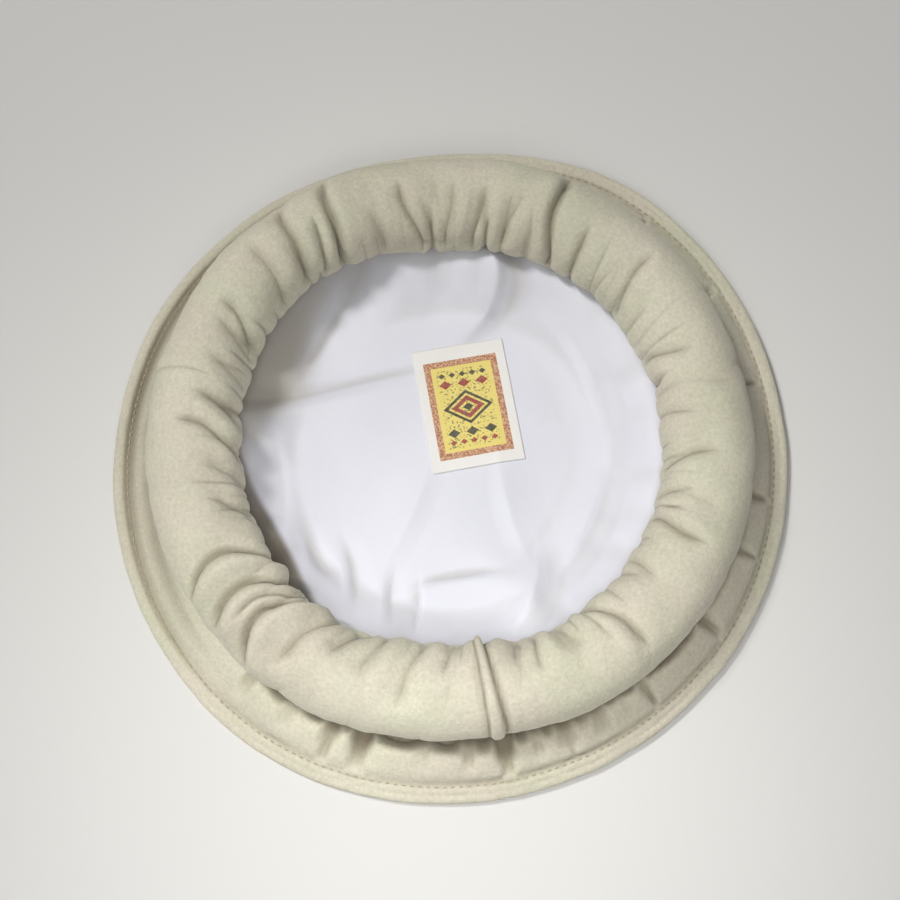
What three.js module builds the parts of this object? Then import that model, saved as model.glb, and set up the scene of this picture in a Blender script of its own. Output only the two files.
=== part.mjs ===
// A pakol, the soft round cap of undyed wool cloth, lying on its flat crown with the head opening up.
// Its pieces are the crown's top disc, the side cloth that is topstitched to the disc's edge and turned
// inwards, the rolled brim that the side cloth is wound into, the lining bag and the label sewn to it.
//
// Millimetres, +Z up. The origin is the middle of the crown, on the surface that the cap lies on.
// An angle round the cap is in degrees, anticlockwise from +X seen from above. The cap is built from
// sections, which are closed outlines of [radius, height] points at one angle round the cap.
import * as THREE from "three";

// ---- Driving dimensions ----
const CLOTH = 2.2; // thickness of the woollen cloth
const LINING_CLOTH = 1.0; // thickness of the lining
const SEWN_GAP = 0.3; // left between pieces that lie on each other
const BRIM_CENTRE_HEIGHT = 33.5; // middle of the rolled brim above the surface
const BRIM_HALF_HEIGHT = 19.6;
const RIM_PARTING = 3.1; // height at which the disc and the side cloth meet at the crown's edge
const RIM_HEIGHT = 6.4; // thickness of the crown's padded edge
const SIDE_STITCH_INSET = 6.5; // topstitching, inwards from the crown's edge, on the side cloth
const TOP_STITCH_INSET = 12.5; // and on the crown's disc
const STITCH_GROOVE = 1.2; // how far the topstitching draws the disc up
const FLAT_INSET = 25; // inwards from here the crown lies flat

// The slack side cloth: how far it bulges out past the roll and how high, and where it tucks in again.
const BULGE = { past: 2.4, height: 17.5 };
const TUCK = { inwards: 5, height: 11.5 };
const CREASE_PULL = { inwards: 0.85, down: 0.5 }; // how the side cloth is drawn in, as shares of its dip
const LIFT_SHARE = { bead: 0.8, sideStitching: 0.6, discStitching: 0.3, ridge: 0.15 }; // of the edge's lift
const LINING_FLOOR = CLOTH + SEWN_GAP + 0.2; // underside of the lining where it lies on the crown
const LINING_SLACK = 2.2; // how far the loose lining stands off the crown between its folds
const LABEL = { width: 41.5, length: 57.5, thickness: 0.7, clearance: 0.5, x: 8.6, y: 24.5, turn: 10 };

// ---- Number of sections and points ----
const BRIM_SECTIONS = 168;
const BRIM_POINTS = 16;
const BRIM_STEP = 360 / BRIM_POINTS; // degrees between the corners of the roll's section
const SIDE_SECTIONS = 120;
const CROWN_SECTIONS = 72;
const LINING_SECTIONS = 48;
const LABEL_STEPS = { across: 4, along: 5 };

// The cap's outline, a row every 30 degrees: radius of the crown's edge, how far that edge is lifted off
// the surface, radius of the head opening, outer radius of the rolled brim, and the side cloth's slack:
// with none it rises close against the roll, and with 1 it bulges out by BULGE and tucks in under it.
const OUTLINE = [
  { edge: 150.6, lift: 1.5, mouth: 90.5, brim: 130.8, slack: 1.0 }, // 0
  { edge: 152.0, lift: 4.0, mouth: 92.0, brim: 132.2, slack: 1.0 }, // 30
  { edge: 153.0, lift: 6.0, mouth: 92.4, brim: 133.4, slack: 1.0 }, // 60
  { edge: 147.8, lift: 1.0, mouth: 89.2, brim: 131.6, slack: 0.8 }, // 90
  { edge: 148.6, lift: 0.0, mouth: 93.4, brim: 132.6, slack: 0.5 }, // 120
  { edge: 149.6, lift: 0.0, mouth: 92.8, brim: 131.2, slack: 0.1 }, // 150
  { edge: 149.6, lift: 0.0, mouth: 88.1, brim: 130.2, slack: 0.0 }, // 180
  { edge: 150.2, lift: 0.0, mouth: 87.6, brim: 129.6, slack: 0.2 }, // 210
  { edge: 151.6, lift: 0.0, mouth: 87.8, brim: 128.4, slack: 1.2 }, // 240
  { edge: 149.8, lift: 0.0, mouth: 84.6, brim: 126.8, slack: 1.3 }, // 270
  { edge: 149.4, lift: 0.0, mouth: 89.0, brim: 128.2, slack: 1.3 }, // 300
  { edge: 150.4, lift: 0.5, mouth: 90.2, brim: 130.0, slack: 1.2 }, // 330
];

// The folds pressed into the rolled brim: angle on top of the roll, degrees that the fold swings by on
// its way to the mouth and to the outside, depth, half width, and where it starts and ends on the
// section, in degrees from the mouth (0) over the top (90) to the outside (180).
const BRIM_FOLDS = [
  { angle: 20, toMouth: 3, toOutside: 0, depth: 1.6, width: 3.2, start: -20, end: 95 },
  { angle: 42, toMouth: -3, toOutside: 1, depth: 1.9, width: 3.4, start: -20, end: 110 },
  { angle: 65.5, toMouth: -5, toOutside: 0, depth: 3.0, width: 3.2, start: -30, end: 165 },
  { angle: 80.5, toMouth: 2, toOutside: 0, depth: 1.8, width: 3.6, start: -10, end: 90 },
  { angle: 89.0, toMouth: 2, toOutside: 0, depth: 2.0, width: 3.4, start: -20, end: 100 },
  { angle: 101, toMouth: -4, toOutside: 1, depth: 2.4, width: 3.4, start: -20, end: 110 },
  { angle: 117.5, toMouth: 3, toOutside: 0, depth: 3.2, width: 3.2, start: -30, end: 160 },
  { angle: 127.5, toMouth: 2, toOutside: -2, depth: 2.4, width: 3.4, start: -10, end: 165 },
  { angle: 136, toMouth: 2, toOutside: -2, depth: 1.5, width: 3.2, start: 0, end: 120 },
  { angle: 149, toMouth: 4, toOutside: 0, depth: 2.4, width: 3.4, start: -20, end: 100 },
  { angle: 170, toMouth: 3, toOutside: 0, depth: 1.8, width: 3.4, start: -20, end: 85 },
  { angle: 177.5, toMouth: 6, toOutside: -1, depth: 2.4, width: 3.2, start: -20, end: 105 },
  { angle: 195, toMouth: 5, toOutside: 0, depth: 2.0, width: 3.4, start: -20, end: 60 },
  { angle: 208.8, toMouth: 6, toOutside: 3, depth: 2.6, width: 3.2, start: -30, end: 165 },
  { angle: 217.3, toMouth: 6, toOutside: 2, depth: 2.8, width: 3.2, start: -30, end: 160 },
  { angle: 224.8, toMouth: 7, toOutside: 2, depth: 3.4, width: 3.2, start: -30, end: 170 },
  { angle: 234, toMouth: 5, toOutside: -1, depth: 1.6, width: 3.4, start: -10, end: 120 },
  { angle: 244, toMouth: 2, toOutside: 0, depth: 1.6, width: 3.4, start: -20, end: 60 },
  { angle: 260, toMouth: 3, toOutside: 0, depth: 1.4, width: 3.6, start: -20, end: 90 },
  { angle: 290, toMouth: 2, toOutside: 0, depth: 1.8, width: 3.4, start: -20, end: 75 },
  { angle: 312, toMouth: -4, toOutside: 1, depth: 2.2, width: 3.4, start: -20, end: 120 },
  { angle: 336, toMouth: 3, toOutside: 0, depth: 2.0, width: 3.4, start: -20, end: 100 },
  { angle: 356, toMouth: -3, toOutside: 0, depth: 1.7, width: 3.4, start: -20, end: 90 },
];

// The cloth's closing seam, which crosses the whole rolled brim as a raised welt.
const SEAM = { angle: 279.5, height: 1.2, width: 2.4 };

// Creases where the wide crown is gathered into the narrower roll: angle, depth and half width.
const SIDE_CREASES = [
  { angle: 33, depth: 3.0, width: 4.5 },
  { angle: 96, depth: 1.2, width: 4.5 },
  { angle: 146, depth: 1.0, width: 5.0 },
  { angle: 228.5, depth: 2.6, width: 4.5 },
  { angle: 246.5, depth: 3.0, width: 4.5 },
  { angle: 254.5, depth: 4.5, width: 5.0 },
  { angle: 280, depth: 4.0, width: 4.5 },
  { angle: 290.5, depth: 3.2, width: 4.5 },
  { angle: 298, depth: 2.6, width: 4.5 },
  { angle: 309, depth: 2.4, width: 4.5 },
  { angle: 326, depth: 3.2, width: 4.5 },
  { angle: 349, depth: 2.8, width: 4.5 },
];

// Even gathering: how many gathers go round, and how deep they are.
const MOUTH_GATHERS = { count: 42, depth: 1.0 };
const SIDE_GATHERS = { count: 60, depth: 1.6 };

// Folds of the loose lining: middle, heading in degrees, half length, half width, and height, which is
// below 0 for a valley.
const LINING_FOLDS = [
  { x: -56, y: 34, heading: 14, length: 40, width: 10, height: -2.0 },
  { x: 19, y: 77, heading: 86, length: 20, width: 12, height: 2.8 },
  { x: 46, y: 72, heading: 96, length: 24, width: 10, height: 2.2 },
  { x: 9, y: -78, heading: 4, length: 25, width: 12, height: 2.6 },
  { x: 58, y: -34, heading: 62, length: 30, width: 10, height: 2.2 },
  { x: 64, y: 30, heading: 110, length: 30, width: 10, height: 2.0 },
  { x: -66, y: -10, heading: 84, length: 26, width: 12, height: 1.6 },
];

// ---- Shape functions ----
const radians = THREE.MathUtils.degToRad;

/** A column of a table whose rows are evenly spaced round the cap, as a smooth closed curve. */
function around(table, column, angle) {
  const place = (angle / 360) * table.length;
  const row = Math.floor(place);
  const [a, b, c, d] = [-1, 0, 1, 2].map((step) => {
    const index = THREE.MathUtils.euclideanModulo(row + step, table.length);
    return table[index][column];
  });
  const t = place - row;
  const [inSlope, outSlope] = [(c - a) / 2, (d - b) / 2];
  return (
    b + t * (inSlope + t * (3 * (c - b) - 2 * inSlope - outSlope + t * (2 * (b - c) + inSlope + outSlope)))
  );
}

/** The same, for a column that is never below 0. */
function aroundFromZero(table, column, angle) {
  return Math.max(0, around(table, column, angle));
}

/** The signed difference between two angles, from -180 to 180 degrees. */
function turnBetween(from, to) {
  return THREE.MathUtils.euclideanModulo(to - from + 180, 360) - 180;
}

/** A bell-shaped bump: 1 at distance 0, falling to nearly 0 at twice the half width. */
function bell(distance, halfWidth) {
  return Math.exp(-((distance / halfWidth) ** 2));
}

/** Rises from 0 to 1 over the given width after start. */
function fadeIn(value, start, width) {
  return THREE.MathUtils.smoothstep(value, start, start + width);
}

/** Middle radius and half width of the rolled brim at an angle round the cap. */
function brimSize(angle) {
  const mouth = around(OUTLINE, "mouth", angle);
  const outside = around(OUTLINE, "brim", angle);
  return { middle: (mouth + outside) / 2, halfWidth: (outside - mouth) / 2 };
}

/** A point standing off the rolled brim's plain surface. Turn goes from the mouth (0) over the top (90). */
function aroundBrim(angle, turn, offset) {
  const { middle, halfWidth } = brimSize(angle);
  return [
    middle - (halfWidth + offset) * Math.cos(radians(turn)),
    BRIM_CENTRE_HEIGHT + (BRIM_HALF_HEIGHT + offset) * Math.sin(radians(turn)),
  ];
}

/** How far a fold is pressed in at a place on the rolled brim. */
function foldDepth(fold, angle, turn) {
  const FADE = 30;
  const lean = Math.cos(radians(turn)) ** 2 * (turn < 90 ? fold.toMouth : fold.toOutside);
  const arc = radians(turnBetween(fold.angle + lean, angle)) * brimSize(angle).middle;
  const reach = fadeIn(turn, fold.start, FADE) * (1 - fadeIn(turn, fold.end - FADE, FADE));
  return fold.depth * reach * bell(arc, fold.width);
}

/** Height of the rolled brim's surface over its plain section: folds and gathers go in, the seam out. */
function brimRelief(angle, turn) {
  const folds = BRIM_FOLDS.reduce((sum, fold) => sum + foldDepth(fold, angle, turn), 0);
  const nearMouth = fadeIn(turn, -60, 40) * (1 - fadeIn(turn, 20, 70));
  const gathers = (MOUTH_GATHERS.depth / 2) * (1 - Math.cos(radians(angle * MOUTH_GATHERS.count)));
  const seamArc = radians(turnBetween(SEAM.angle, angle)) * brimSize(angle).middle;
  const seamReach = fadeIn(turn, -15, 25) * (1 - fadeIn(turn, 180, 25));
  return SEAM.height * seamReach * bell(seamArc, SEAM.width) - folds - nearMouth * gathers;
}

/** How far the side cloth dips between its gathers, which deepen towards the roll. */
function sideDip(angle, share) {
  const creases = SIDE_CREASES.reduce((sum, crease) => {
    const arc = radians(turnBetween(crease.angle, angle)) * around(OUTLINE, "brim", angle);
    return sum + crease.depth * bell(arc, crease.width);
  }, 0);
  const gathers = (SIDE_GATHERS.depth / 2) * (1 - Math.cos(radians(angle * SIDE_GATHERS.count)));
  return share * (creases + gathers);
}

/** A [radius, height] place, moved outwards and up. */
function moved([radius, height], outwards, up) {
  return [radius + outwards, height + up];
}

/** A place between two [radius, height] places. */
function between([radius0, height0], [radius1, height1], share) {
  return [radius0 + share * (radius1 - radius0), height0 + share * (height1 - height0)];
}

/** Height of the lining's underside over the crown at a place. */
function liningHeight(x, y) {
  const folds = LINING_FOLDS.reduce((sum, fold) => {
    const [dx, dy] = [x - fold.x, y - fold.y];
    const [c, s] = [Math.cos(radians(fold.heading)), Math.sin(radians(fold.heading))];
    const [along, across] = [dx * c + dy * s, dy * c - dx * s];
    return sum + fold.height * bell(along, fold.length) * bell(across, fold.width);
  }, 0);
  return LINING_FLOOR + Math.max(0, LINING_SLACK + folds);
}

// ---- Sections: closed outlines of [radius, height] at an angle round the cap, anticlockwise ----

/** The crown's top disc, from its middle underneath, round the edge and back to its middle. */
function crownTopSection(angle) {
  const edge = around(OUTLINE, "edge", angle);
  const lift = aroundFromZero(OUTLINE, "lift", angle);
  const bead = { inset: 5, height: 0.5 }; // the padded rim's lowest place
  const corner = { inset: 1.2, height: 1.4 }; // where the rim rounds up to its edge
  return [
    [0, 0],
    [edge - FLAT_INSET, 0],
    [edge - TOP_STITCH_INSET, STITCH_GROOVE + LIFT_SHARE.discStitching * lift],
    [edge - bead.inset, bead.height + LIFT_SHARE.bead * lift],
    [edge - corner.inset, corner.height + lift],
    [edge, RIM_PARTING + lift],
    [edge - TOP_STITCH_INSET, RIM_PARTING + LIFT_SHARE.discStitching * lift],
    [edge - FLAT_INSET, CLOTH],
    [0, CLOTH],
  ];
}

/**
 * The side cloth, from the crown's edge over the padded rim, up its flank to a ridge and in under the
 * roll, and back on its underside. The ridge lies on the roll where the cloth has no slack.
 */
function crownSideSection(angle) {
  const edge = around(OUTLINE, "edge", angle);
  const brim = around(OUTLINE, "brim", angle);
  const slack = aroundFromZero(OUTLINE, "slack", angle);
  const lift = aroundFromZero(OUTLINE, "lift", angle);
  const inside = RIM_PARTING + SEWN_GAP;
  const bead = { inset: 4, corner: 0.9, cornerHeight: 1.6 }; // the rim's highest place and its outer corner
  const sewnIn = 0.4; // how far the topstitching presses the cloth in
  const round = { outwards: 1.2, up: 0.6 }; // how far the flank swells
  const onRoll = (step, thickness) => aroundBrim(angle, step * BRIM_STEP, SEWN_GAP + thickness);
  const stitching = [edge - SIDE_STITCH_INSET, inside + CLOTH - sewnIn + LIFT_SHARE.sideStitching * lift];
  const ridge = between(onRoll(-6, 0), [brim + BULGE.past, BULGE.height + LIFT_SHARE.ridge * lift], slack);
  const tuck = between(onRoll(-5, 0), [brim - TUCK.inwards, TUCK.height], slack);
  const flank = moved(between(stitching, ridge, 0.5), round.outwards, round.up);
  const sunk = (place, share) => {
    const dip = sideDip(angle, share);
    return moved(place, -CREASE_PULL.inwards * dip, -CREASE_PULL.down * dip);
  };
  return [
    [edge - SEWN_GAP, inside + lift],
    [edge - bead.corner, inside + bead.cornerHeight + lift],
    [edge - bead.inset, RIM_HEIGHT + LIFT_SHARE.bead * lift],
    stitching,
    sunk(flank, 0.3),
    sunk(ridge, 0.8),
    sunk(tuck, 1),
    onRoll(-4, 0),
    onRoll(-3, 0),
    onRoll(-3, CLOTH),
    onRoll(-4, CLOTH),
    sunk(moved(tuck, 0.4 * CLOTH, -CLOTH), 1),
    sunk(moved(ridge, 0, -1.3 * CLOTH), 0.8),
    sunk(moved(flank, -0.7 * CLOTH, -0.7 * CLOTH), 0.3),
    moved(stitching, -1, sewnIn - CLOTH),
  ];
}

/** The rolled brim: the cloth's whole width wound up, with its folds, gathers and seam. */
function brimSection(angle) {
  return Array.from({ length: BRIM_POINTS }, (_, point) => {
    const turn = BRIM_STEP * point;
    const signedTurn = turn > 225 ? turn - 360 : turn;
    return aroundBrim(angle, turn, brimRelief(angle, signedTurn));
  }).reverse();
}

/** The lining bag, from its middle underneath, up to the mouth and back to its middle. */
function liningSection(angle) {
  const offRoll = (step, distance) => aroundBrim(angle, step * BRIM_STEP, distance);
  const pastCloth = SEWN_GAP + CLOTH + 2 * SEWN_GAP; // clear of the side cloth under the roll
  const foot = offRoll(-3, pastCloth); // the foot of the wall
  const radii = [0, 24, 44, 60, 74]; // the floor's rings
  const floorEnd = around(OUTLINE, "mouth", angle) + 9;
  const floor = (radius, thickness) => {
    const [x, y] = [radius * Math.cos(radians(angle)), radius * Math.sin(radians(angle))];
    return [radius, liningHeight(x, y) + thickness];
  };
  return [
    ...radii.map((radius) => floor(radius, 0)),
    floor(floorEnd, 0),
    foot,
    offRoll(-2, pastCloth),
    offRoll(-1, SEWN_GAP),
    offRoll(-1, SEWN_GAP + LINING_CLOTH),
    offRoll(-2, pastCloth + LINING_CLOTH),
    moved(foot, -1.3 * LINING_CLOTH, -0.4 * LINING_CLOTH),
    floor(floorEnd - 0.8, LINING_CLOTH),
    ...radii.map((radius) => floor(radius, LINING_CLOTH)).reverse(),
  ];
}

// ---- Solids ----

/** Sweeps a section round the cap into a closed solid. A point on the axis becomes one shared vertex. */
function sweptSolid(section, sections) {
  const rings = Array.from({ length: sections }, (_, index) => {
    const angle = (360 / sections) * index;
    return section(angle).map(([radius, height]) => [
      radius * Math.cos(radians(angle)),
      radius * Math.sin(radians(angle)),
      height,
    ]);
  });
  const count = rings[0].length;
  const onAxis = (point) => Math.hypot(point[0], point[1]) < 1e-6;
  const corners = [];
  const addFace = (...points) => corners.push(...points.flat());
  rings.forEach((ring, index) => {
    const next = rings[(index + 1) % sections];
    for (let k = 0; k < count; k++) {
      const after = (k + 1) % count;
      if (onAxis(ring[k]) && onAxis(ring[after])) continue;
      if (!onAxis(ring[after])) addFace(ring[k], next[after], ring[after]);
      if (!onAxis(ring[k])) addFace(ring[k], next[k], next[after]);
    }
  });
  return geometryOf(corners);
}

/** A thin patch that follows the lining's floor. */
function labelSolid() {
  const { across, along } = LABEL_STEPS;
  const [c, s] = [Math.cos(radians(LABEL.turn)), Math.sin(radians(LABEL.turn))];
  const box = new THREE.BoxGeometry(LABEL.width, LABEL.length, LABEL.thickness, across, along, 1);
  const place = box.getAttribute("position");
  for (let i = 0; i < place.count; i++) {
    const [across0, along0, up] = [place.getX(i), place.getY(i), place.getZ(i)];
    const x = LABEL.x + across0 * c - along0 * s;
    const y = LABEL.y + across0 * s + along0 * c;
    const resting = liningHeight(x, y) + LINING_CLOTH + LABEL.clearance;
    place.setXYZ(i, x, y, resting + LABEL.thickness / 2 + up);
  }
  box.computeVertexNormals();
  return box;
}

function geometryOf(corners) {
  const geometry = new THREE.BufferGeometry();
  geometry.setAttribute("position", new THREE.Float32BufferAttribute(corners, 3));
  geometry.computeVertexNormals();
  return geometry;
}

// ---- Materials ----
const woolCloth = new THREE.MeshStandardMaterial({ color: 0xcfc9b4, roughness: 0.95, metalness: 0 });
const rolledWool = new THREE.MeshStandardMaterial({ color: 0xc9c4ac, roughness: 0.95, metalness: 0 });
const whiteLining = new THREE.MeshStandardMaterial({ color: 0xdfe1ea, roughness: 0.7, metalness: 0 });
const wovenLabel = new THREE.MeshStandardMaterial({ color: 0xe9dfa0, roughness: 0.6, metalness: 0 });

// ---- The cap ----
function piece(name, geometry, material) {
  const mesh = new THREE.Mesh(geometry, material);
  mesh.name = name;
  return mesh;
}

const pakol = new THREE.Group();
pakol.name = "pakol";
pakol.add(
  piece("crown_top", sweptSolid(crownTopSection, CROWN_SECTIONS), woolCloth),
  piece("crown_side", sweptSolid(crownSideSection, SIDE_SECTIONS), woolCloth),
  piece("rolled_brim", sweptSolid(brimSection, BRIM_SECTIONS), rolledWool),
  piece("lining", sweptSolid(liningSection, LINING_SECTIONS), whiteLining),
  piece("label", labelSolid(), wovenLabel),
);

export default pakol;
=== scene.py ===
"""The looks of a pakol, a soft round cap of undyed wool that lies on its flat crown, with its opening up.

The cap is built again, much finer, on the sizes and the outline of its solids: the rolled brim with its
pleats, gathers and welted seam, the side cloth that is gathered in under the roll, the crown's disc, the
loose white lining, the label and the threads that hold them. Lengths are in millimetres until a mesh is
made, and angles in degrees: "angle" goes round the cap, anticlockwise from +X, and "turn" goes round the
roll's section, from the head opening (0) over the top (90) to the outside (180).
"""

import math

import bpy
import numpy as np
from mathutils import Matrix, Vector


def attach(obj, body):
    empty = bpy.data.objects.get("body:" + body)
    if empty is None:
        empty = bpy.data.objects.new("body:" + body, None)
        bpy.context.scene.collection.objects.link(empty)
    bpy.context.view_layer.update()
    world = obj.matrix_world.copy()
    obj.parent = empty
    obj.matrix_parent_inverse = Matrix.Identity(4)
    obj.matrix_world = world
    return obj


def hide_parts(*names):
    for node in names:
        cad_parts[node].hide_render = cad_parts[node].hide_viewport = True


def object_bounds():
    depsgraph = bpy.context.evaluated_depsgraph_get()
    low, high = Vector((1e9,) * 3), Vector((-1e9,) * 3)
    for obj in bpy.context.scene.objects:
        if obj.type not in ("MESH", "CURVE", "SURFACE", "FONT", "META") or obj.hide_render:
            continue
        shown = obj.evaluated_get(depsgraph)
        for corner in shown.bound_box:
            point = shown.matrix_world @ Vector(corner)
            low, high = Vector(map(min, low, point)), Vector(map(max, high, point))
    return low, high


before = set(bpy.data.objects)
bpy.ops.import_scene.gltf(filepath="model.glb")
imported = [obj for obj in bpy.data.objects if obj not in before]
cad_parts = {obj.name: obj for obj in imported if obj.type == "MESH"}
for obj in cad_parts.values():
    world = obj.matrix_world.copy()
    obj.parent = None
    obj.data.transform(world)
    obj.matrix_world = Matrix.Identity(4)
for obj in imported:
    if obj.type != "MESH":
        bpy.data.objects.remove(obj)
cad_low, cad_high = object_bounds()

# ---- Driving dimensions, in millimetres ----
MM = 0.001  # metres in a millimetre
CLOTH = 2.2  # thickness of the woollen cloth
LINING_CLOTH = 0.8
SEWN_GAP = 0.3
RIM_PARTING = 3.1  # height at which the disc and the side cloth meet at the crown's edge
RIM_HEIGHT = 6.4
SIDE_STITCH_INSET = 6.5  # topstitching, inwards from the crown's edge, on the side cloth
TOP_STITCH_INSET = 12.5  # and on the crown's disc
FLAT_INSET = 25
LINING_FLOOR = CLOTH + SEWN_GAP + 0.2
LINING_SLACK = 4.8  # how far the lining stands off its floor between the folds
LABEL = {"width": 41.5, "length": 57.5, "thickness": 0.5, "x": 8.6, "y": 24.5, "turn": 10}
BRIM_CENTRE_HEIGHT = 33.5
BRIM_HALF_HEIGHT = 19.6
BULGE = {"past": 2.4, "height": 17.5}  # how far and how high the slack side cloth bulges out past the roll
TUCK = {"inwards": 5, "height": 11.5}  # and where it tucks in again
PIT_PULL = {"inwards": 0.85, "down": 0.5}  # how a pit draws the side cloth in, as shares of its depth
PIT_TIP = 0.18  # width of a pit at its tip, as a share of its width under the roll

# ---- How fine the meshes are ----
SECTIONS = 1150  # round the cap
LINING_SECTIONS = 420
LABEL_POINTS = (60, 84)  # across and along the label
SIDE_STEPS = [3, 4, 4, 5, 4, 4, 5, 6, 6, 5, 4, 3, 2, 3, 2, 2, 2, 2, 2, 2]  # points along the side cloth
SIDE_RIDGE = sum(SIDE_STEPS[:8])  # the point on its ridge


def table_of(columns, *rows):
    """Rows of numbers as dictionaries, with the names of their columns."""
    return [dict(zip(columns.split(), row)) for row in rows]


# The cap's outline, a row every 30 degrees: radius of the crown's edge, how far that edge is lifted off the
# surface, radius of the head opening, outer radius of the rolled brim, the side cloth's slack, and how
# strongly the roll is gathered at the head opening.
OUTLINE = table_of(
    "edge lift mouth brim slack gather",
    (150.6, 1.5, 90.5, 130.8, 1.0, 1.0),  # 0
    (152.0, 4.0, 92.0, 132.2, 1.0, 1.0),  # 30
    (153.0, 6.0, 92.4, 133.4, 1.0, 1.0),  # 60
    (147.8, 1.0, 89.2, 131.6, 0.8, 0.9),  # 90
    (148.6, 0.0, 93.4, 132.6, 0.5, 0.9),  # 120
    (149.6, 0.0, 92.8, 131.2, 0.1, 1.0),  # 150
    (149.6, 0.0, 88.1, 130.2, 0.0, 1.0),  # 180
    (150.2, 0.0, 87.6, 129.6, 0.2, 0.9),  # 210
    (151.6, 0.0, 87.8, 128.4, 1.2, 0.6),  # 240
    (149.8, 0.0, 84.6, 126.8, 1.3, 0.6),  # 270
    (149.4, 0.0, 89.0, 128.2, 1.3, 0.9),  # 300
    (150.4, 0.5, 90.2, 130.0, 1.2, 1.0),  # 330
)

# Folds pressed into the roll: angle on its top, swing towards the mouth and the outside in degrees, depth,
# half width, where they start and end in degrees of turn, and the height of the cloth that bulges over the
# fold on the side of larger angles. A minus sign puts it on the other side.
BRIM_FOLDS = table_of(
    "angle to_mouth to_outside depth width start end lobe",
    (20, 3, 0, 2.2, 2.2, -20, 95, 0.6),
    (42, -3, 1, 2.6, 2.2, -20, 120, -0.7),
    (65.5, -3, 0, 5.2, 1.3, -30, 168, 0.8),
    (75.4, 0, 0, 2.2, 2.8, 0, 105, 0.5),
    (81.5, 2, 0, 2.9, 2.5, -20, 105, 0.6),
    (89.0, 2, 0, 2.6, 2.8, -20, 110, -0.6),
    (95.0, -1, 0, 1.8, 2.5, -20, 90, -0.4),
    (101, -4, 1, 3.8, 2.2, -20, 118, -0.8),
    (109, -2, 0, 1.7, 2.5, -20, 85, 0.3),
    (117.3, 1.5, -2, 6.0, 1.3, -30, 170, -0.9),
    (121.6, 2.5, 0, 3.2, 1.7, -20, 100, -0.5),
    (127.5, 2, -2, 4.4, 2.3, -10, 168, -0.9),
    (136, 2, -2, 3.2, 3.0, -20, 130, -0.5),
    (148.6, 4, 0, 4.2, 2.6, -20, 108, -0.8),
    (153, 3, 0, 2.8, 2.8, -20, 95, -0.4),
    (161, 3, 0, 2.4, 3.0, -20, 90, -0.3),
    (165.5, 2, 1, 0.5, 0.8, 60, 185, -0.5),
    (170, 3, 0, 3.6, 2.8, -20, 98, 0.6),
    (176.8, 6.5, -1, 4.4, 2.5, -20, 116, 0.8),
    (187, 4, 0, 2.4, 3.0, -20, 80, 0.4),
    (195.5, 5, 0, 3.4, 2.8, -20, 88, 0.6),
    (208.6, 6, 4, 4.4, 1.7, -30, 172, 2.2),
    (217.2, 6, 3, 4.6, 1.6, -30, 166, 2.0),
    (221.3, 6.5, 2, 2.6, 1.6, -20, 130, 1.0),
    (224.3, 7, 4, 6.4, 1.4, -30, 176, 2.4),
    (234.5, 5, -3, 3.6, 3.0, -20, 138, 0.7),
    (242.5, 3.5, 0, 4.6, 3.2, -20, 92, 0.5),
    (250, 3, -2, 2.6, 3.0, -20, 105, 0.4),
    (260, 4, -3, 3.8, 3.4, -20, 135, 0.5),
    (268.5, 3, -1, 3.4, 3.0, -20, 90, 0.4),
    (285.5, 1.5, 0, 3.2, 2.6, -20, 82, 0.4),
    (290.5, 2, 0, 3.4, 2.8, -20, 100, 0.6),
    (301, -2, 0, 2.8, 3.0, -20, 92, 0.4),
    (312, -4, 1, 3.6, 1.8, -20, 140, -0.9),
    (324, 2, 0, 2.0, 2.5, -20, 85, 0.4),
    (336, 3, 0, 3.2, 2.0, -20, 120, 0.7),
    (347, -2, 0, 1.8, 2.4, -20, 88, -0.4),
    (356, -3, 0, 2.8, 2.1, -20, 108, -0.6),
)

# The cloth's closing seam over the roll: a flat raised welt between two pressed lines.
SEAM = {"angle": 278.6, "swing": 1.4, "height": 1.6, "at_mouth": 1.7, "at_outside": 2.4, "line_depth": 2.6}

# Small gathers, spread by seeded chance: how many, how deep, how wide and how far up they reach.
MOUTH_GATHERS, BROAD_GATHERS = table_of(
    "count depth width start end seed",
    (70, (0.5, 2.1), (1.1, 2.2), -80, (15, 90), 3),
    (40, (0.4, 2.2), (2.6, 4.6), -25, (50, 125), 19),
)
OUTER_GATHERS = {"count": 46, "depth": (0.3, 1.1), "width": (1.6, 3.0), "start": (140, 195), "seed": 5}
TUCK_GATHERS = {"count": 52, "depth": (0.3, 2.4), "width": (1.4, 3.4), "reach": (0.2, 0.6), "seed": 8}

# Pits where the wide crown is gathered into the narrower roll: angle, depth and half width under the roll,
# and how far they reach out from it, as a share of the way to the stitching.
SIDE_CREASES = table_of(
    "angle depth width reach",
    (14, 6.0, 4.2, 0.75),
    (33, 8.0, 5.4, 0.85),
    (51, 6.0, 4.0, 0.75),
    (229.5, 9.0, 6.0, 0.5),
    (239, 6.0, 8.0, 0.5),
    (247.5, 8.5, 6.0, 0.85),
    (253.5, 12.0, 7.5, 0.95),
    (265, 2.5, 7.0, 0.5),
    (273.5, 8.0, 6.0, 0.45),
    (280.4, 10.5, 6.5, 0.9),
    (286.5, 7.0, 5.5, 0.45),
    (292, 9.5, 7.5, 0.6),
    (299, 9.0, 7.5, 0.55),
    (309, 6.0, 4.6, 0.8),
    (326, 8.5, 5.4, 0.9),
    (341, 6.0, 4.4, 0.7),
    (352, 7.0, 4.8, 0.8),
)

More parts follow.
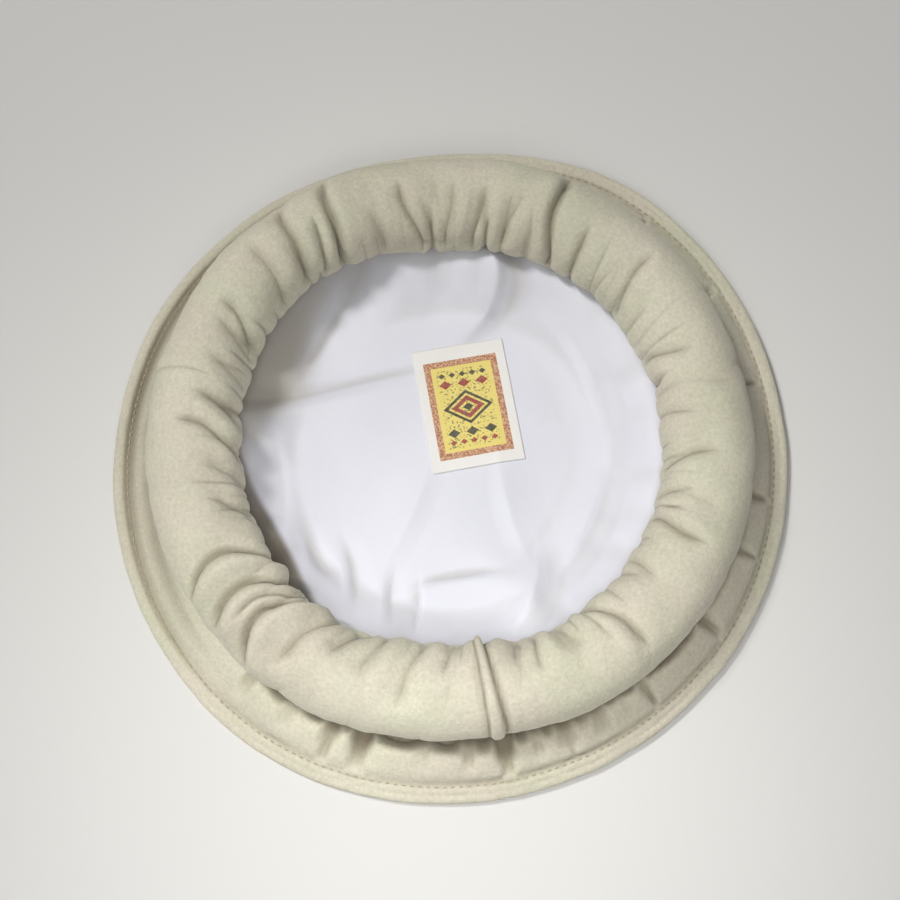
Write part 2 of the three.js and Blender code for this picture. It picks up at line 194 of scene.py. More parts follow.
# Folds of the loose lining: a place on the crest, its heading, how far its ends bend to the left, half
# length, height (below 0 for a valley), and how wide its slopes are on the left and right of the heading.
LINING_FOLDS = table_of(
    "x y heading bend length height left right",
    (-56, 33, 13, -1, 42, -3.8, 12, 7),
    (-52, 64, 62, 1, 28, -3.0, 8, 20),
    (22, 82, 92, 8, 18, 9.0, 30, 10),
    (40, 88, 118, -4, 16, 3.5, 9, 18),
    (36, -62, 70, 2, 14, 8.0, 46, 12),
    (-14, -66, 86, 0, 9, -3.0, 16, 3),
    (4, -53, 8, -1, 16, -2.6, 14, 3),
    (-42, -52, 100, 1, 11, -2.8, 4, 10),
    (-58, -46, 122, -1, 9, -2.4, 4, 8),
    (-26, -62, 88, -1, 10, -2.2, 4, 9),
    (-16, -26, 66, 2, 26, 1.6, 20, 8),
    (26, -22, 104, -2, 24, 2.0, 8, 16),
    (58, -34, 62, 4, 30, 3.2, 16, 12),
    (64, 30, 110, 4, 30, 3.0, 18, 12),
    (-70, -14, 96, 3, 26, 2.0, 10, 24),
)

# Where the lining hangs low instead of rising to the brim: the middle of that place, half its width and how
# softly it ends.
LOW_LINING = {"angle": 138, "half_width": 34, "softness": 16}

# Painted shade on parts of the lining beside the roll: the angle of their middle, how far they go round, how
# far they reach inwards and over how wide an angle that fades, what is taken off it, and how softly they end.
LINING_SHADES = {
    "brim_shade": {"angle": 209, "spread": 48, "reach": 13.5, "narrowing": 27, "margin": 9, "softness": 3.5},
    "pocket": {"angle": 152, "spread": 45, "reach": 24, "narrowing": 24, "margin": 16, "softness": 20},
}

# Painted shade in the groove beside the topstitching: its strength everywhere, the strength added at the
# angle where it is darkest, and over how wide an angle that is added.
GROOVE_SHADE = {"everywhere": 0.6, "added": 0.7, "angle": 158, "spread": 30}

# Each ring of topstitching: how many stitches, what share of its space each fills, the thread's thickness and
# how far a stitch may drift.
TOPSTITCHING = {"count": 260, "share": 0.8, "thickness": 0.8, "drift": 0.15}

# ---- Lamps and camera, in metres, watts and degrees ----
# A lamp stands at an azimuth (anticlockwise from +X), an elevation and a distance from what it lights.
KEY_LAMP = {"azimuth": 152, "elevation": 62, "distance": 6, "size": 0.96, "power": 190, "spread": 180}
NEAR_LAMP = {"azimuth": 262, "elevation": 78, "distance": 0.5, "size": 0.25, "power": 0.3, "spread": 70}
NEAR_AIM = Vector((-0.01, -0.142, 0))  # from the cap's middle
WARM_WHITE, NEAR_WHITE = (1.0, 0.98, 0.95), (1.0, 0.99, 0.97)
SKY_STRENGTH = 0.2
CAMERA_PLACE = (0, -0.1951, 0.7492)
CAMERA_FILL = 0.77  # share of the picture's width that the cap fills


# ---- Shape functions, on arrays ----
def around(column, angle):
    """A column of OUTLINE, as a smooth closed curve."""
    values = np.array([row[column] for row in OUTLINE])
    place = np.mod(angle, 360) / 360 * len(values)
    row = np.floor(place).astype(int)
    t = place - row
    a, b, c, d = (values[(row + step) % len(values)] for step in (-1, 0, 1, 2))
    rise_in, rise_out = (c - a) / 2, (d - b) / 2
    bend = 3 * (c - b) - 2 * rise_in - rise_out
    twist = 2 * (b - c) + rise_in + rise_out
    return b + t * (rise_in + t * (bend + t * twist))


def amount(column, angle, most=None):
    """A column of OUTLINE that may not pass below 0, nor above a limit."""
    return np.clip(around(column, angle), 0, most)


def turn_between(start, end):
    """The signed difference between two angles, from -180 to 180 degrees."""
    return np.mod(end - start + 180, 360) - 180


def bell(distance, half_width):
    """A bump: 1 at distance 0, falling to nearly 0 at twice the half width."""
    return np.exp(-((distance / half_width) ** 2))


def pit(distance, half_width):
    """A bump with steep sides: 1 at distance 0, and 0.37 at the half width."""
    return np.exp(-((distance / half_width) ** 4))


def crease(distance, half_width):
    """A valley between two rounded sides: 1 at distance 0, with long soft flanks. Narrow ones are sharp."""
    sharp = np.clip(1.3 - 0.27 * half_width, 0.2, 0.65)
    line = np.exp((0.25 - np.hypot(distance, 0.25)) / half_width)
    return sharp * line + (1 - sharp) * bell(distance, (2.5 - sharp) * half_width)


def fade_in(value, start, width):
    """Rises smoothly from 0 to 1 over the given width after start."""
    t = np.clip((value - start) / width, 0, 1)
    return t * t * (3 - 2 * t)


def soft_noise(u, v, cells_u, cells_v, seed):
    """Smooth seeded noise from -1 to 1 over u and v from 0 to 1. It closes on itself along u."""
    grid = np.random.default_rng(seed).uniform(-1, 1, (cells_u, cells_v + 2))
    place_u, place_v = np.mod(u, 1) * cells_u, np.clip(v, 0, 1) * cells_v
    i, j = np.floor(place_u).astype(int), np.floor(place_v).astype(int)
    s, t = place_u - i, place_v - j
    s, t = s * s * (3 - 2 * s), t * t * (3 - 2 * t)
    low = grid[i % cells_u, j] * (1 - s) + grid[(i + 1) % cells_u, j] * s
    high = grid[i % cells_u, j + 1] * (1 - s) + grid[(i + 1) % cells_u, j + 1] * s
    return low * (1 - t) + high * t


def around_brim(angle, turn, offset):
    """Radius and height of a place that stands off the roll's plain surface."""
    mouth, outside = around("mouth", angle), around("brim", angle)
    middle, half_width = (mouth + outside) / 2, (outside - mouth) / 2
    radius = middle - (half_width + offset) * np.cos(np.radians(turn))
    height = BRIM_CENTRE_HEIGHT + (BRIM_HALF_HEIGHT + offset) * np.sin(np.radians(turn))
    return radius, height + np.zeros_like(radius)


def arc_from(line, angle):
    """Distance round the roll from an angle, measured along its middle."""
    return np.radians(turn_between(line, angle)) * (around("mouth", angle) + around("brim", angle)) / 2


def fold_relief(fold, angle, turn):
    """One fold in the roll: a sharp groove, cloth bulging over one side of it, and sunk on the other."""
    swing = np.where(turn < 90, fold["to_mouth"], fold["to_outside"]) * np.cos(np.radians(turn)) ** 2
    arc = arc_from(fold["angle"] + swing, angle)
    reach = fade_in(turn, fold["start"], 25) * (1 - fade_in(turn, fold["end"] - 35, 35))
    side = math.copysign(1, fold["lobe"])
    lobe_width = 4.5
    bulge = bell(arc - side * (fold["width"] + 0.8 * lobe_width), lobe_width)
    sunk = bell(arc + side * (fold["width"] + 0.5 * lobe_width), 0.7 * lobe_width)
    lobe = abs(fold["lobe"]) * (bulge - 0.5 * sunk) * (0.4 + 0.6 * fade_in(turn, 0, 60))
    return reach * (lobe - fold["depth"] * crease(arc, fold["width"]))


def seam_relief(angle, turn):
    """The welted seam across the roll."""
    arc = arc_from(SEAM["angle"] - SEAM["swing"] * np.cos(np.radians(turn)) / 2, angle)
    reach = fade_in(turn, -25, 30) * (1 - fade_in(turn, 178, 22))
    edge = 0.8
    half_width = SEAM["at_mouth"] + (SEAM["at_outside"] - SEAM["at_mouth"]) * fade_in(turn, 0, 180)
    welt = fade_in(arc, -half_width - edge, 2 * edge) * (1 - fade_in(arc, half_width - edge, 2 * edge))
    lines = crease(arc - half_width - edge, 0.9) + 0.2 * crease(arc + half_width + edge, 0.9)
    return reach * (SEAM["height"] * welt - SEAM["line_depth"] * lines)


def gather_rows(table, *columns):
    """Even places round the cap, each moved a little, with seeded values for the named columns."""
    random = np.random.default_rng(table["seed"])
    count = table["count"]
    spacing = 360 / count
    places = (np.arange(count) + random.uniform(-0.38, 0.38, count)) * spacing
    leans = random.uniform(-1, 1, count)
    return zip(places, leans, *(random.uniform(*table[name], count) for name in columns))


def mouth_gathers(table, angle, turn):
    """The many gathers where the roll turns into the head opening."""
    relief = np.zeros_like(angle)
    for place, lean, depth, width, end in gather_rows(table, "depth", "width", "end"):
        arc = arc_from(place + 3 * lean * np.cos(np.radians(turn)), angle)
        reach = fade_in(turn, table["start"], 40) * (1 - fade_in(turn, end - 25, 50))
        relief -= depth * reach * crease(arc, width)
    return relief


def outer_gathers(angle, turn):
    """Shallow gathers on the roll's outer flank, where it turns under."""
    relief = np.zeros_like(angle)
    for place, lean, depth, width, start in gather_rows(OUTER_GATHERS, "depth", "width", "start"):
        arc = arc_from(place + 2 * lean * np.sin(np.radians(turn)), angle)
        relief -= depth * fade_in(turn, start - 30, 60) * crease(arc, width)
    return relief


def brim_relief(angle, turn):
    """Height of the roll's surface over its plain section."""
    round_share, turn_share = angle / 360, (turn + 135) / 360
    lumps = 0.75 * soft_noise(round_share, turn_share, 23, 6, 11)
    lumps += 0.4 * soft_noise(round_share, turn_share, 61, 9, 12)
    wrinkles = 0.14 * soft_noise(round_share, turn_share, 190, 9, 13)
    wrinkles += 0.07 * soft_noise(round_share, turn_share, 330, 40, 14)
    gathers = mouth_gathers(MOUTH_GATHERS, angle, turn) + mouth_gathers(BROAD_GATHERS, angle, turn)
    gathers *= around("gather", angle)
    relief = lumps + wrinkles + gathers + outer_gathers(angle, turn) + seam_relief(angle, turn)
    for fold in BRIM_FOLDS:
        relief += fold_relief(fold, angle, turn)
    return relief


def side_dip(angle, share):
    """Depth of the side cloth's pits and gathers. Share is 0 at the stitching and 1 under the roll."""
    dip = np.zeros_like(angle)
    radius = around("brim", angle)
    for row in SIDE_CREASES:
        arc = np.radians(turn_between(row["angle"], angle)) * radius
        within = np.clip((share - 1 + row["reach"]) / row["reach"], 0, 1)
        half_width = row["width"] * (PIT_TIP + (1 - PIT_TIP) * within)
        dip += row["depth"] * within * (0.35 * bell(arc, half_width) + 0.65 * pit(arc, 0.82 * half_width))
    for place, lean, depth, width, reach in gather_rows(TUCK_GATHERS, "depth", "width", "reach"):
        arc = np.radians(turn_between(place + 1.5 * lean * share, angle)) * radius
        dip += depth * fade_in(share, 1 - reach, 0.75 * reach) * crease(arc, width)
    return dip


def lining_relief(x, y):
    """Height of the lining's folds over its floor. It rises towards the brim, except in a low pocket."""
    radius, angle = np.hypot(x, y), np.degrees(np.arctan2(y, x))
    from_low = np.abs(turn_between(LOW_LINING["angle"], angle))
    low = fade_in(-from_low, -LOW_LINING["half_width"], LOW_LINING["softness"])
    pulled = (2 + 9 * (1 - low)) * fade_in(radius, 68, 26)
    gathered = 0.9 * fade_in(radius, 58, 32) * soft_noise(angle / 360, 0 * radius, 58, 1, 41)
    waves = 0.7 * np.sin(x / 23 + 1.0) * np.cos(y / 31 + 0.4) + 0.4 * np.sin(x / 11 - y / 17)
    crumple = 0.35 * soft_noise((x + 120) / 240, (y + 120) / 240, 11, 8, 42)
    relief = LINING_SLACK + waves + crumple + pulled + gathered
    for fold in LINING_FOLDS:
        heading = math.radians(fold["heading"])
        dx, dy = x - fold["x"], y - fold["y"]
        along = dx * math.cos(heading) + dy * math.sin(heading)
        left = dy * math.cos(heading) - dx * math.sin(heading)
        left = left - fold["bend"] * (along / fold["length"]) ** 2
        fall = np.where(left > 0, fold["left"], fold["right"])
        slope = np.clip(1 - np.hypot(left, 0.6) / fall, 0, 1) ** 1.5
        relief = relief + fold["height"] * bell(along, fold["length"]) * slope
    return np.maximum(relief, 0)


# ---- Meshes ----
def ring_angles(sections):
    return np.arange(sections) * 360 / sections


def placed(angle, radius, height):
    """Points from angle, radius and height."""
    way = np.radians(angle)
    return np.stack([radius * np.cos(way), radius * np.sin(way), height], axis=-1)


def quads(grid):
    """The four corners of each cell of a grid."""
    return np.stack([grid[:-1, :-1], grid[1:, :-1], grid[1:, 1:], grid[:-1, 1:]], axis=2)


def surface_normals(points):
    """Normals of the faces that grid_object makes from a grid of points."""
    along_rings = np.roll(points, -1, axis=0) - np.roll(points, 1, axis=0)
    along_lines = np.gradient(points, axis=1)
    normals = np.cross(along_rings, along_lines)
    return normals / np.maximum(np.linalg.norm(normals, axis=-1, keepdims=True), 1e-9)


def hollowness(points):
    """How deep each point of a grid lies in a crease along or across its rings, from 0 to 1."""
    normals = surface_normals(points)

    def depth_between(reach, axis):
        neighbours = (np.roll(points, reach, axis=axis) + np.roll(points, -reach, axis=axis)) / 2
        return ((neighbours - points) * normals).sum(axis=-1)

    depth = np.maximum(depth_between(2, 0), 0.7 * depth_between(3, 1))
    depth = np.maximum(depth, 0.2 * depth_between(7, 0))
    return np.clip((depth - 0.04) / 0.55, 0, 1)


def smooth_line(controls, steps, closed=False):
    """A smooth line through control points. Each row of controls is an array over the sections, and steps
    says how many points each span gets."""
    controls = np.asarray(controls)
    count = len(controls)
    line = []
    for k, step_count in enumerate(steps):
        picks = [k - 1, k, k + 1, k + 2]
        picks = [p % count for p in picks] if closed else [min(max(p, 0), count - 1) for p in picks]
        a, b, c, d = (controls[p] for p in picks)
        bend = a - 2.5 * b + 2 * c - d / 2
        twist = 1.5 * (b - c) + (d - a) / 2
        for t in np.arange(step_count) / step_count:
            line.append(b + t * ((c - a) / 2 + t * (bend + t * twist)))
    if not closed:
        line.append(controls[-1])
    return np.array(line)


def grid_object(name, points, closes_along_line, poles=False, painted_shade=None):
    """A mesh from a grid of points in millimetres that closes on itself along its first axis. Its UV map is
    in metres of cloth. With poles, the first and the last point of each line are one shared vertex."""
    # By default the painted shade follows how deep each point lies in a crease.
    painted_shade = hollowness(points) if painted_shade is None else painted_shade
    rings, count = points.shape[:2]
    index = np.arange(rings * count).reshape(rings, count)
    if poles:
        index[:, 0], index[:, -1] = index[0, 0], index[0, -1]
    wrapped = np.concatenate([index, index[:1]])
    widest = np.hypot(points[..., 0], points[..., 1]).max()
    round_length = np.arange(rings + 1) / rings * math.tau * widest
    lengths = np.linalg.norm(np.diff(points, axis=1, append=points[:, :1]), axis=-1).mean(axis=0)
    line_length = np.concatenate([[0], np.cumsum(lengths)])
    if closes_along_line:
        wrapped = np.concatenate([wrapped, wrapped[:, :1]], axis=1)
    u, v = np.meshgrid(round_length, line_length[: wrapped.shape[1]], indexing="ij")
    faces, face_uv = quads(wrapped).reshape(-1, 4), quads(np.stack([u, v], axis=-1) * MM).reshape(-1, 4, 2)
    return mesh_object(name, points.reshape(-1, 3) * MM, faces, face_uv, painted_shade.ravel())


def add_attribute(mesh, name, values):
    """A number for each vertex, which a material reads."""
    mesh.attributes.new(name, "FLOAT", "POINT").data.foreach_set("value", values.astype(np.float32))


def smooth_object(name, mesh):
    """The object of a mesh, smooth and linked to the scene."""
    mesh.polygons.foreach_set("use_smooth", np.ones(len(mesh.polygons), bool))
    mesh.update()
    made = bpy.data.objects.new(name, mesh)
    bpy.context.scene.collection.objects.link(made)
    return made


def mesh_object(name, vertices, faces, face_uv, painted_shade=None):
    """An object from vertices in metres and faces that may repeat a vertex, with a UV for each corner and,
    where it is given, the painted shade of each vertex."""
    used = np.unique(faces)
    renumbered = np.zeros(len(vertices), int)
    renumbered[used] = np.arange(len(used))
    faces = renumbered[faces]
    kept, kept_uv = [], []
    for number, face in enumerate(faces.tolist()):
        corners = [k for k in range(len(face)) if face[k] != face[k - 1]]
        kept.append([face[k] for k in corners])
        kept_uv.extend(face_uv[number, corners].tolist())
    mesh = bpy.data.meshes.new(name)
    mesh.from_pydata(vertices[used].tolist(), [], kept)
    mesh.uv_layers.new(name="cloth").data.foreach_set("uv", np.array(kept_uv, np.float32).ravel())
    if painted_shade is not None:
        add_attribute(mesh, "painted_shade", painted_shade[used])
    return smooth_object(name, mesh)


def rolled_brim():
    """The wound roll, finest where it shows."""
    hidden = np.linspace(-135, -50, 6, endpoint=False)
    shown = np.linspace(-50, 200, 76, endpoint=False)
    under = np.linspace(200, 225, 4, endpoint=False)
    turn, angle = np.meshgrid(np.concatenate([hidden, shown, under]), ring_angles(SECTIONS))
    radius, height = around_brim(angle, turn, brim_relief(angle, turn))
    return grid_object("rolled_brim_wool", placed(angle, radius, height)[:, ::-1], closes_along_line=True)


def crown_edge(angle):
    """Radius of the crown's edge, with the small waves of sewn cloth."""
    share = angle / 360
    slow, quick = soft_noise(share, 0, 40, 1, 21), soft_noise(share, 0, 160, 1, 22)
    return around("edge", angle) + 0.35 * slow + 0.15 * quick


def stitch_groove(angle):
    """Depth of the groove that the topstitching draws, which fades where the cloth is slack."""
    return 1.8 - 1.5 * amount("slack", angle, 1)


def side_line(dip_share):
    """The side cloth's section at each angle: over the padded rim, down at the topstitching, up to a ridge,
    and gathered in under the roll. Its gathers dip by the given share of their depth."""
    angle = ring_angles(SECTIONS)
    share = angle / 360
    edge = crown_edge(angle)
    slack = amount("slack", angle)
    lift = amount("lift", angle)
    inside = RIM_PARTING + SEWN_GAP
    pucker = 0.22 * soft_noise(share, 0, 220, 1, 23) + 0.25 * soft_noise(share, 0, 60, 1, 24)

    def mixed(tight, loose):
        return np.stack([a + slack * (b - a) for a, b in zip(tight, loose)])

    def dipped(point, inwards):
        dip = dip_share * side_dip(angle, np.full_like(angle, inwards))
        return np.stack([point[0] - PIT_PULL["inwards"] * dip, point[1] - PIT_PULL["down"] * dip])

    def on_brim(turn, thickness):
        return np.stack(around_brim(angle, turn, SEWN_GAP + thickness))

    stitch = edge - SIDE_STITCH_INSET
    groove = stitch_groove(angle)
    brim = around("brim", angle)
    bulge = brim + BULGE["past"] + 1.2 * soft_noise(share, 0, 44, 1, 27)
    ridge = mixed(on_brim(-135, 0.2), (bulge, BULGE["height"] + 0.15 * lift))
    tuck = mixed(on_brim(-112.5, 0.4), (brim - TUCK["inwards"], TUCK["height"]))
    swell = np.stack([1.2 * slack - 0.5, 2.3 * slack - 1.5])
    flank = (ridge + np.stack([stitch, inside + CLOTH + 0.3 * lift])) / 2 + swell
    controls = [
        # Round the padded rim.
        np.stack([edge - 1.5, inside - 0.1 + lift]),
        np.stack([edge - 0.1, inside + 0.9 + lift]),
        np.stack([edge - 1.4, inside + 2.3 + 0.95 * lift]),
        np.stack([edge - 3.4, RIM_HEIGHT + 0.8 * lift + pucker]),
        # Through the groove of the topstitching.
        np.stack([stitch + 1.7, inside + CLOTH + 0.5 + 0.8 * slack + 0.7 * lift + 0.6 * pucker]),
        np.stack([stitch, inside + CLOTH + 0.4 - groove + 1.5 * slack + 0.6 * lift]),
        np.stack([stitch - 1.9, inside + CLOTH + 0.1 + 2.6 * slack + 0.55 * lift + 0.8 * pucker]),
        # Over the ridge, and in under the roll.
        dipped(flank, 0.45),
        dipped(ridge, 0.75),
        dipped((ridge + tuck) / 2 - [[0.6], [0]], 0.9),
        dipped(tuck, 1.0),
        on_brim(-90, 0.1),
        on_brim(-65, 0),
        # Back along the inside of the cloth.
        on_brim(-65, CLOTH),
        on_brim(-90, CLOTH),
        dipped(tuck + [[0.4 * CLOTH], [-CLOTH]], 1.0),
        dipped(ridge - [[0], [1.3 * CLOTH]], 0.75),
        dipped(flank - [[0.7 * CLOTH], [0.7 * CLOTH]], 0.45),
        np.stack([stitch - 1, inside + 0.6 * lift]),
        np.stack([edge - 4, inside + 0.1 + 0.8 * lift]),
    ]
    return smooth_line(controls, SIDE_STEPS, closed=True)


def crown_side():
    """The side cloth, with painted shade in its pits, under the roll and in the groove of its topstitching.
    """
    line = side_line(1)
    angle = ring_angles(SECTIONS)[:, None]
    radius, height = line[:, 0].T, line[:, 1].T
    points = placed(angle, radius, height)
    # Painted shade in the pits, as far as they draw the cloth in, and on all the cloth under the roll past
    # its ridge.
    pits = np.clip((np.linalg.norm(side_line(0) - line, axis=1).T - 2) / 3.1, 0, 1.3)
    shade_under_roll = fade_in(np.arange(len(line)), SIDE_RIDGE, 6)
    # Painted shade in the topstitching's groove, where the cloth is not slack, darkest round one angle.
    inset = around("edge", angle) - radius
    most_shaded = bell(turn_between(GROOVE_SHADE["angle"], angle), GROOVE_SHADE["spread"])
    groove_shade = GROOVE_SHADE["everywhere"] + GROOVE_SHADE["added"] * most_shaded
    groove = groove_shade * (1 - amount("slack", angle, 1)) * bell(inset - SIDE_STITCH_INSET - 1, 3.2)
    painted_shade = np.maximum(np.maximum(hollowness(points), groove), np.maximum(pits, shade_under_roll))
    return grid_object("crown_side_wool", points, closes_along_line=True, painted_shade=painted_shade)


def crown_top():
    """The crown's disc, from its middle underneath, round its edge and back to its middle."""
    angle = ring_angles(SECTIONS)
    share = angle / 360
    edge = crown_edge(angle)
    lift = amount("lift", angle)
    pucker = 0.2 * soft_noise(share, 0, 220, 1, 25) + 0.2 * soft_noise(share, 0, 60, 1, 26)
    zero = np.zeros_like(edge)
    stitch = edge - TOP_STITCH_INSET
    controls = [
        # Out along the flat underside.
        np.stack([zero, zero]),
        np.stack([zero + 40, zero]),
        np.stack([zero + 80, zero]),
        np.stack([edge - FLAT_INSET - 12, zero]),
        np.stack([edge - FLAT_INSET, zero + 0.05]),
        # Through the groove of the topstitching.
        np.stack([stitch - 4.5, zero + 0.35 + 0.1 * lift]),
        np.stack([stitch - 1.6, 0.7 - 0.3 * pucker + 0.2 * lift]),
        np.stack([stitch, 1.7 + 0.3 * lift]),
        np.stack([stitch + 1.6, 0.9 - 0.3 * pucker + 0.35 * lift]),
        # Round the edge.
        np.stack([edge - 5, 0.45 - 0.5 * pucker + 0.75 * lift]),
        np.stack([edge - 1.8, 0.9 + 0.95 * lift]),
        np.stack([edge - 0.1, 2.2 + lift]),
        np.stack([edge - 1.5, RIM_PARTING + 0.1 + lift]),
        # Back inside.
        np.stack([stitch, RIM_PARTING + 0.3 * lift]),
        np.stack([edge - FLAT_INSET, zero + CLOTH]),
        np.stack([zero, zero + CLOTH]),
    ]
    line = smooth_line(controls, [6, 6, 6, 3, 4, 3, 3, 3, 4, 4, 3, 3, 3, 2, 2])
    line[:, 1] = np.maximum(line[:, 1], 0.02)
    points = placed(angle[:, None], line[:, 0].T, line[:, 1].T)
    return grid_object("crown_top_wool", points, closes_along_line=False, poles=True)


def lining():
    """The loose lining: a folded floor that runs up into a gathered wall under the roll."""
    rings = np.concatenate([np.linspace(0, 1, 86, endpoint=False), np.linspace(1, 2, 22)])
    part, angle = np.meshgrid(rings, ring_angles(LINING_SECTIONS))
    floor_end = around("mouth", angle) + 9
    on_floor = np.clip(part, 0, 1)
    radius = on_floor * floor_end
    x, y = radius * np.cos(np.radians(angle)), radius * np.sin(np.radians(angle))
    height = LINING_FLOOR + LINING_CLOTH + lining_relief(x, y)
    gap = SEWN_GAP + CLOTH + SEWN_GAP + LINING_CLOTH
    up = np.clip(part - 1, 0, 1)
    wall_turn = -76 + 28 * up
    sewn_on = fade_in(up, 0.4, 0.5)
    wall_gap = gap + 1.2 - (gap + 1.1 - LINING_CLOTH) * sewn_on + sewn_on * brim_relief(angle, wall_turn)
    wall_radius, wall_height = around_brim(angle, wall_turn, wall_gap)
    share = fade_in(part, 0.93, 0.22)
    radius = radius * (1 - share) + wall_radius * share
    height = height * (1 - share) + wall_height * share
    top = placed(angle, radius, height)
    under = top + surface_normals(top) * LINING_CLOTH
    under[:, 0] = top[:, :1].mean(axis=0) - [0, 0, LINING_CLOTH]
    top[:, 0] = top[:, :1].mean(axis=0)
    points = np.concatenate([under, top[:, ::-1]], axis=1)
    made = grid_object("lining_cloth", points, closes_along_line=False, poles=True)
    place = np.array([vertex.co for vertex in made.data.vertices]) / MM
    place_angle = np.degrees(np.arctan2(place[:, 1], place[:, 0]))
    inwards = around("mouth", place_angle) - np.hypot(place[:, 0], place[:, 1])
    # Painted shade beside the roll: a dark crescent by the brim and a low pocket, one attribute each.
    for attribute, shade in LINING_SHADES.items():
        away = turn_between(shade["angle"], place_angle)
        end = shade["reach"] * bell(away, shade["narrowing"]) - shade["margin"]
        values = bell(away, shade["spread"]) * (1 - fade_in(inwards, end, shade["softness"]))
        add_attribute(made.data, attribute, values)
    return made


def label():
    """The label: a thin patch that follows the lining."""
    steps = (np.linspace(-0.5, 0.5, count) for count in LABEL_POINTS)
    across, along = np.meshgrid(*steps, indexing="ij")
    x, y = label_place(across * LABEL["width"], along * LABEL["length"])
    resting = LINING_FLOOR + LINING_CLOTH + 0.25 + lining_relief(x, y)
    top = np.stack([x, y, resting + LABEL["thickness"]], axis=-1)
    under = np.stack([x, y, resting], axis=-1)
    count = across.size
    index = np.arange(count).reshape(LABEL_POINTS)
    upper = quads(index).reshape(-1, 4)
    lower = upper[:, ::-1] + count
    border = np.concatenate([index[:, 0], index[-1, 1:], index[-2::-1, -1], index[0, -2:0:-1]])
    after = np.roll(border, -1)
    walls = np.stack([after, border, border + count, after + count], axis=-1)
    vertices = np.concatenate([top.reshape(-1, 3), under.reshape(-1, 3)]) * MM
    faces = np.concatenate([upper, lower, walls])
    flat = np.stack([across, along], axis=-1).reshape(-1, 2) + 0.5
    return mesh_object("label_patch", vertices, faces, np.concatenate([flat, flat])[faces])


def label_place(across, along):
    """Where a place on the label lies, from its distances across and along the label's middle."""
    turn = math.radians(LABEL["turn"])
    x = LABEL["x"] + across * math.cos(turn) - along * math.sin(turn)
    y = LABEL["y"] + across * math.sin(turn) + along * math.cos(turn)
    return x, y


def stitches(name, starts, ends, ups, thickness):
    """Short stitches as one mesh: each is a small bent tube that dives into the cloth at both ends."""
    ring, sides = 7, 6
    share = np.linspace(0, 1, ring)
    middle = starts[:, None] + (ends - starts)[:, None] * share[None, :, None]
    arch = 0.75 * thickness * np.sin(math.pi * share) - 0.3 * thickness
    middle = middle + ups[:, None] * arch[None, :, None]
    along = (ends - starts) / np.linalg.norm(ends - starts, axis=1, keepdims=True)
    side = np.cross(along, ups)
    side /= np.linalg.norm(side, axis=1, keepdims=True)
    over = np.cross(side, along)
    swell = thickness / 2 * np.array([0.45, 0.85, 1, 1, 1, 0.85, 0.45])
    turn = np.arange(sides) * math.tau / sides
    tube = (
        middle[:, :, None]
        + side[:, None, None] * (swell[None, :, None] * np.cos(turn))[..., None]
        + over[:, None, None] * (swell[None, :, None] * np.sin(turn))[..., None]
    )
    index = np.arange(ring * sides).reshape(ring, sides)
    after = np.roll(index, -1, axis=1)
    body = np.stack([index[:-1], index[1:], after[1:], after[:-1]], axis=-1).reshape(-1, 4)
    number = np.arange(len(starts))[:, None, None] * ring * sides
    faces = (body[None] + number).reshape(-1, 4).tolist()
    for start in number.ravel():
        faces.append((start + index[0]).tolist())
        faces.append((start + index[-1][::-1]).tolist())
    mesh = bpy.data.meshes.new(name)
    mesh.from_pydata((tube.reshape(-1, 3) * MM).tolist(), [], faces)
    return smooth_object(name, mesh)


def ring_stitches(name, inset, height_at, up, seed):
    """Topstitching in a ring, at an inset from the crown's edge."""
    random = np.random.default_rng(seed)
    count = TOPSTITCHING["count"]
    start = np.arange(count) * 360 / count
    end = start + 360 / count * TOPSTITCHING["share"]

    def at(angle, drift):
        radius = around("edge", angle) - inset + drift
        return placed(angle, radius, height_at(angle))

    drift = random.uniform(-TOPSTITCHING["drift"], TOPSTITCHING["drift"], count)
    ups = np.tile([0.0, 0.0, up], (count, 1))
    return stitches(name, at(start, drift), at(end, np.roll(drift, -1)), ups, TOPSTITCHING["thickness"])


# ---- Materials ----
CREASE_SHADE_TONE = (0.20, 0.17, 0.115, 1)  # painted shade: the colour the wool is darkened towards in creases, pits, the groove and under the roll


def node(tree, kind, inputs=None, **settings):
    """A shader node, with its inputs set or linked."""
    made = tree.nodes.new(kind)
    for name, value in settings.items():
        setattr(made, name, value)
    for name, value in (inputs or {}).items():
        if isinstance(value, bpy.types.NodeSocket):
            tree.links.new(value, made.inputs[name])
        else:
            made.inputs[name].default_value = value
    return made


def noise(tree, where, scale, detail, roughness=0.5):
    inputs = {"Vector": where, "Scale": scale, "Detail": detail, "Roughness": roughness}
    return node(tree, "ShaderNodeTexNoise", inputs).outputs["Fac"]


def ranged(tree, value, low, high, out_low=0.0, out_high=1.0):
    inputs = {"Value": value, "From Min": low, "From Max": high, "To Min": out_low, "To Max": out_high}
    return node(tree, "ShaderNodeMapRange", inputs).outputs["Result"]


def mixed_colour(tree, share, first, second, blend_type="MIX"):
    made = node(tree, "ShaderNodeMix", data_type="RGBA", blend_type=blend_type)
    for place, value in ((0, share), (6, first), (7, second)):
        if isinstance(value, bpy.types.NodeSocket):
            tree.links.new(value, made.inputs[place])
        else:
            made.inputs[place].default_value = value
    return made.outputs[2]


def math_node(tree, operation, *values):
    made = node(tree, "ShaderNodeMath", operation=operation)
    for place, value in enumerate(values):
        if isinstance(value, bpy.types.NodeSocket):
            tree.links.new(value, made.inputs[place])
        else:
            made.inputs[place].default_value = value
    return made.outputs[0]


def bumped(tree, height, strength, distance, under=None):
    """Fine relief up to a distance in millimetres, laid over another."""
    inputs = {"Height": height, "Strength": strength, "Distance": distance * MM}
    if under is not None:
        inputs["Normal"] = under
    return node(tree, "ShaderNodeBump", inputs).outputs["Normal"]


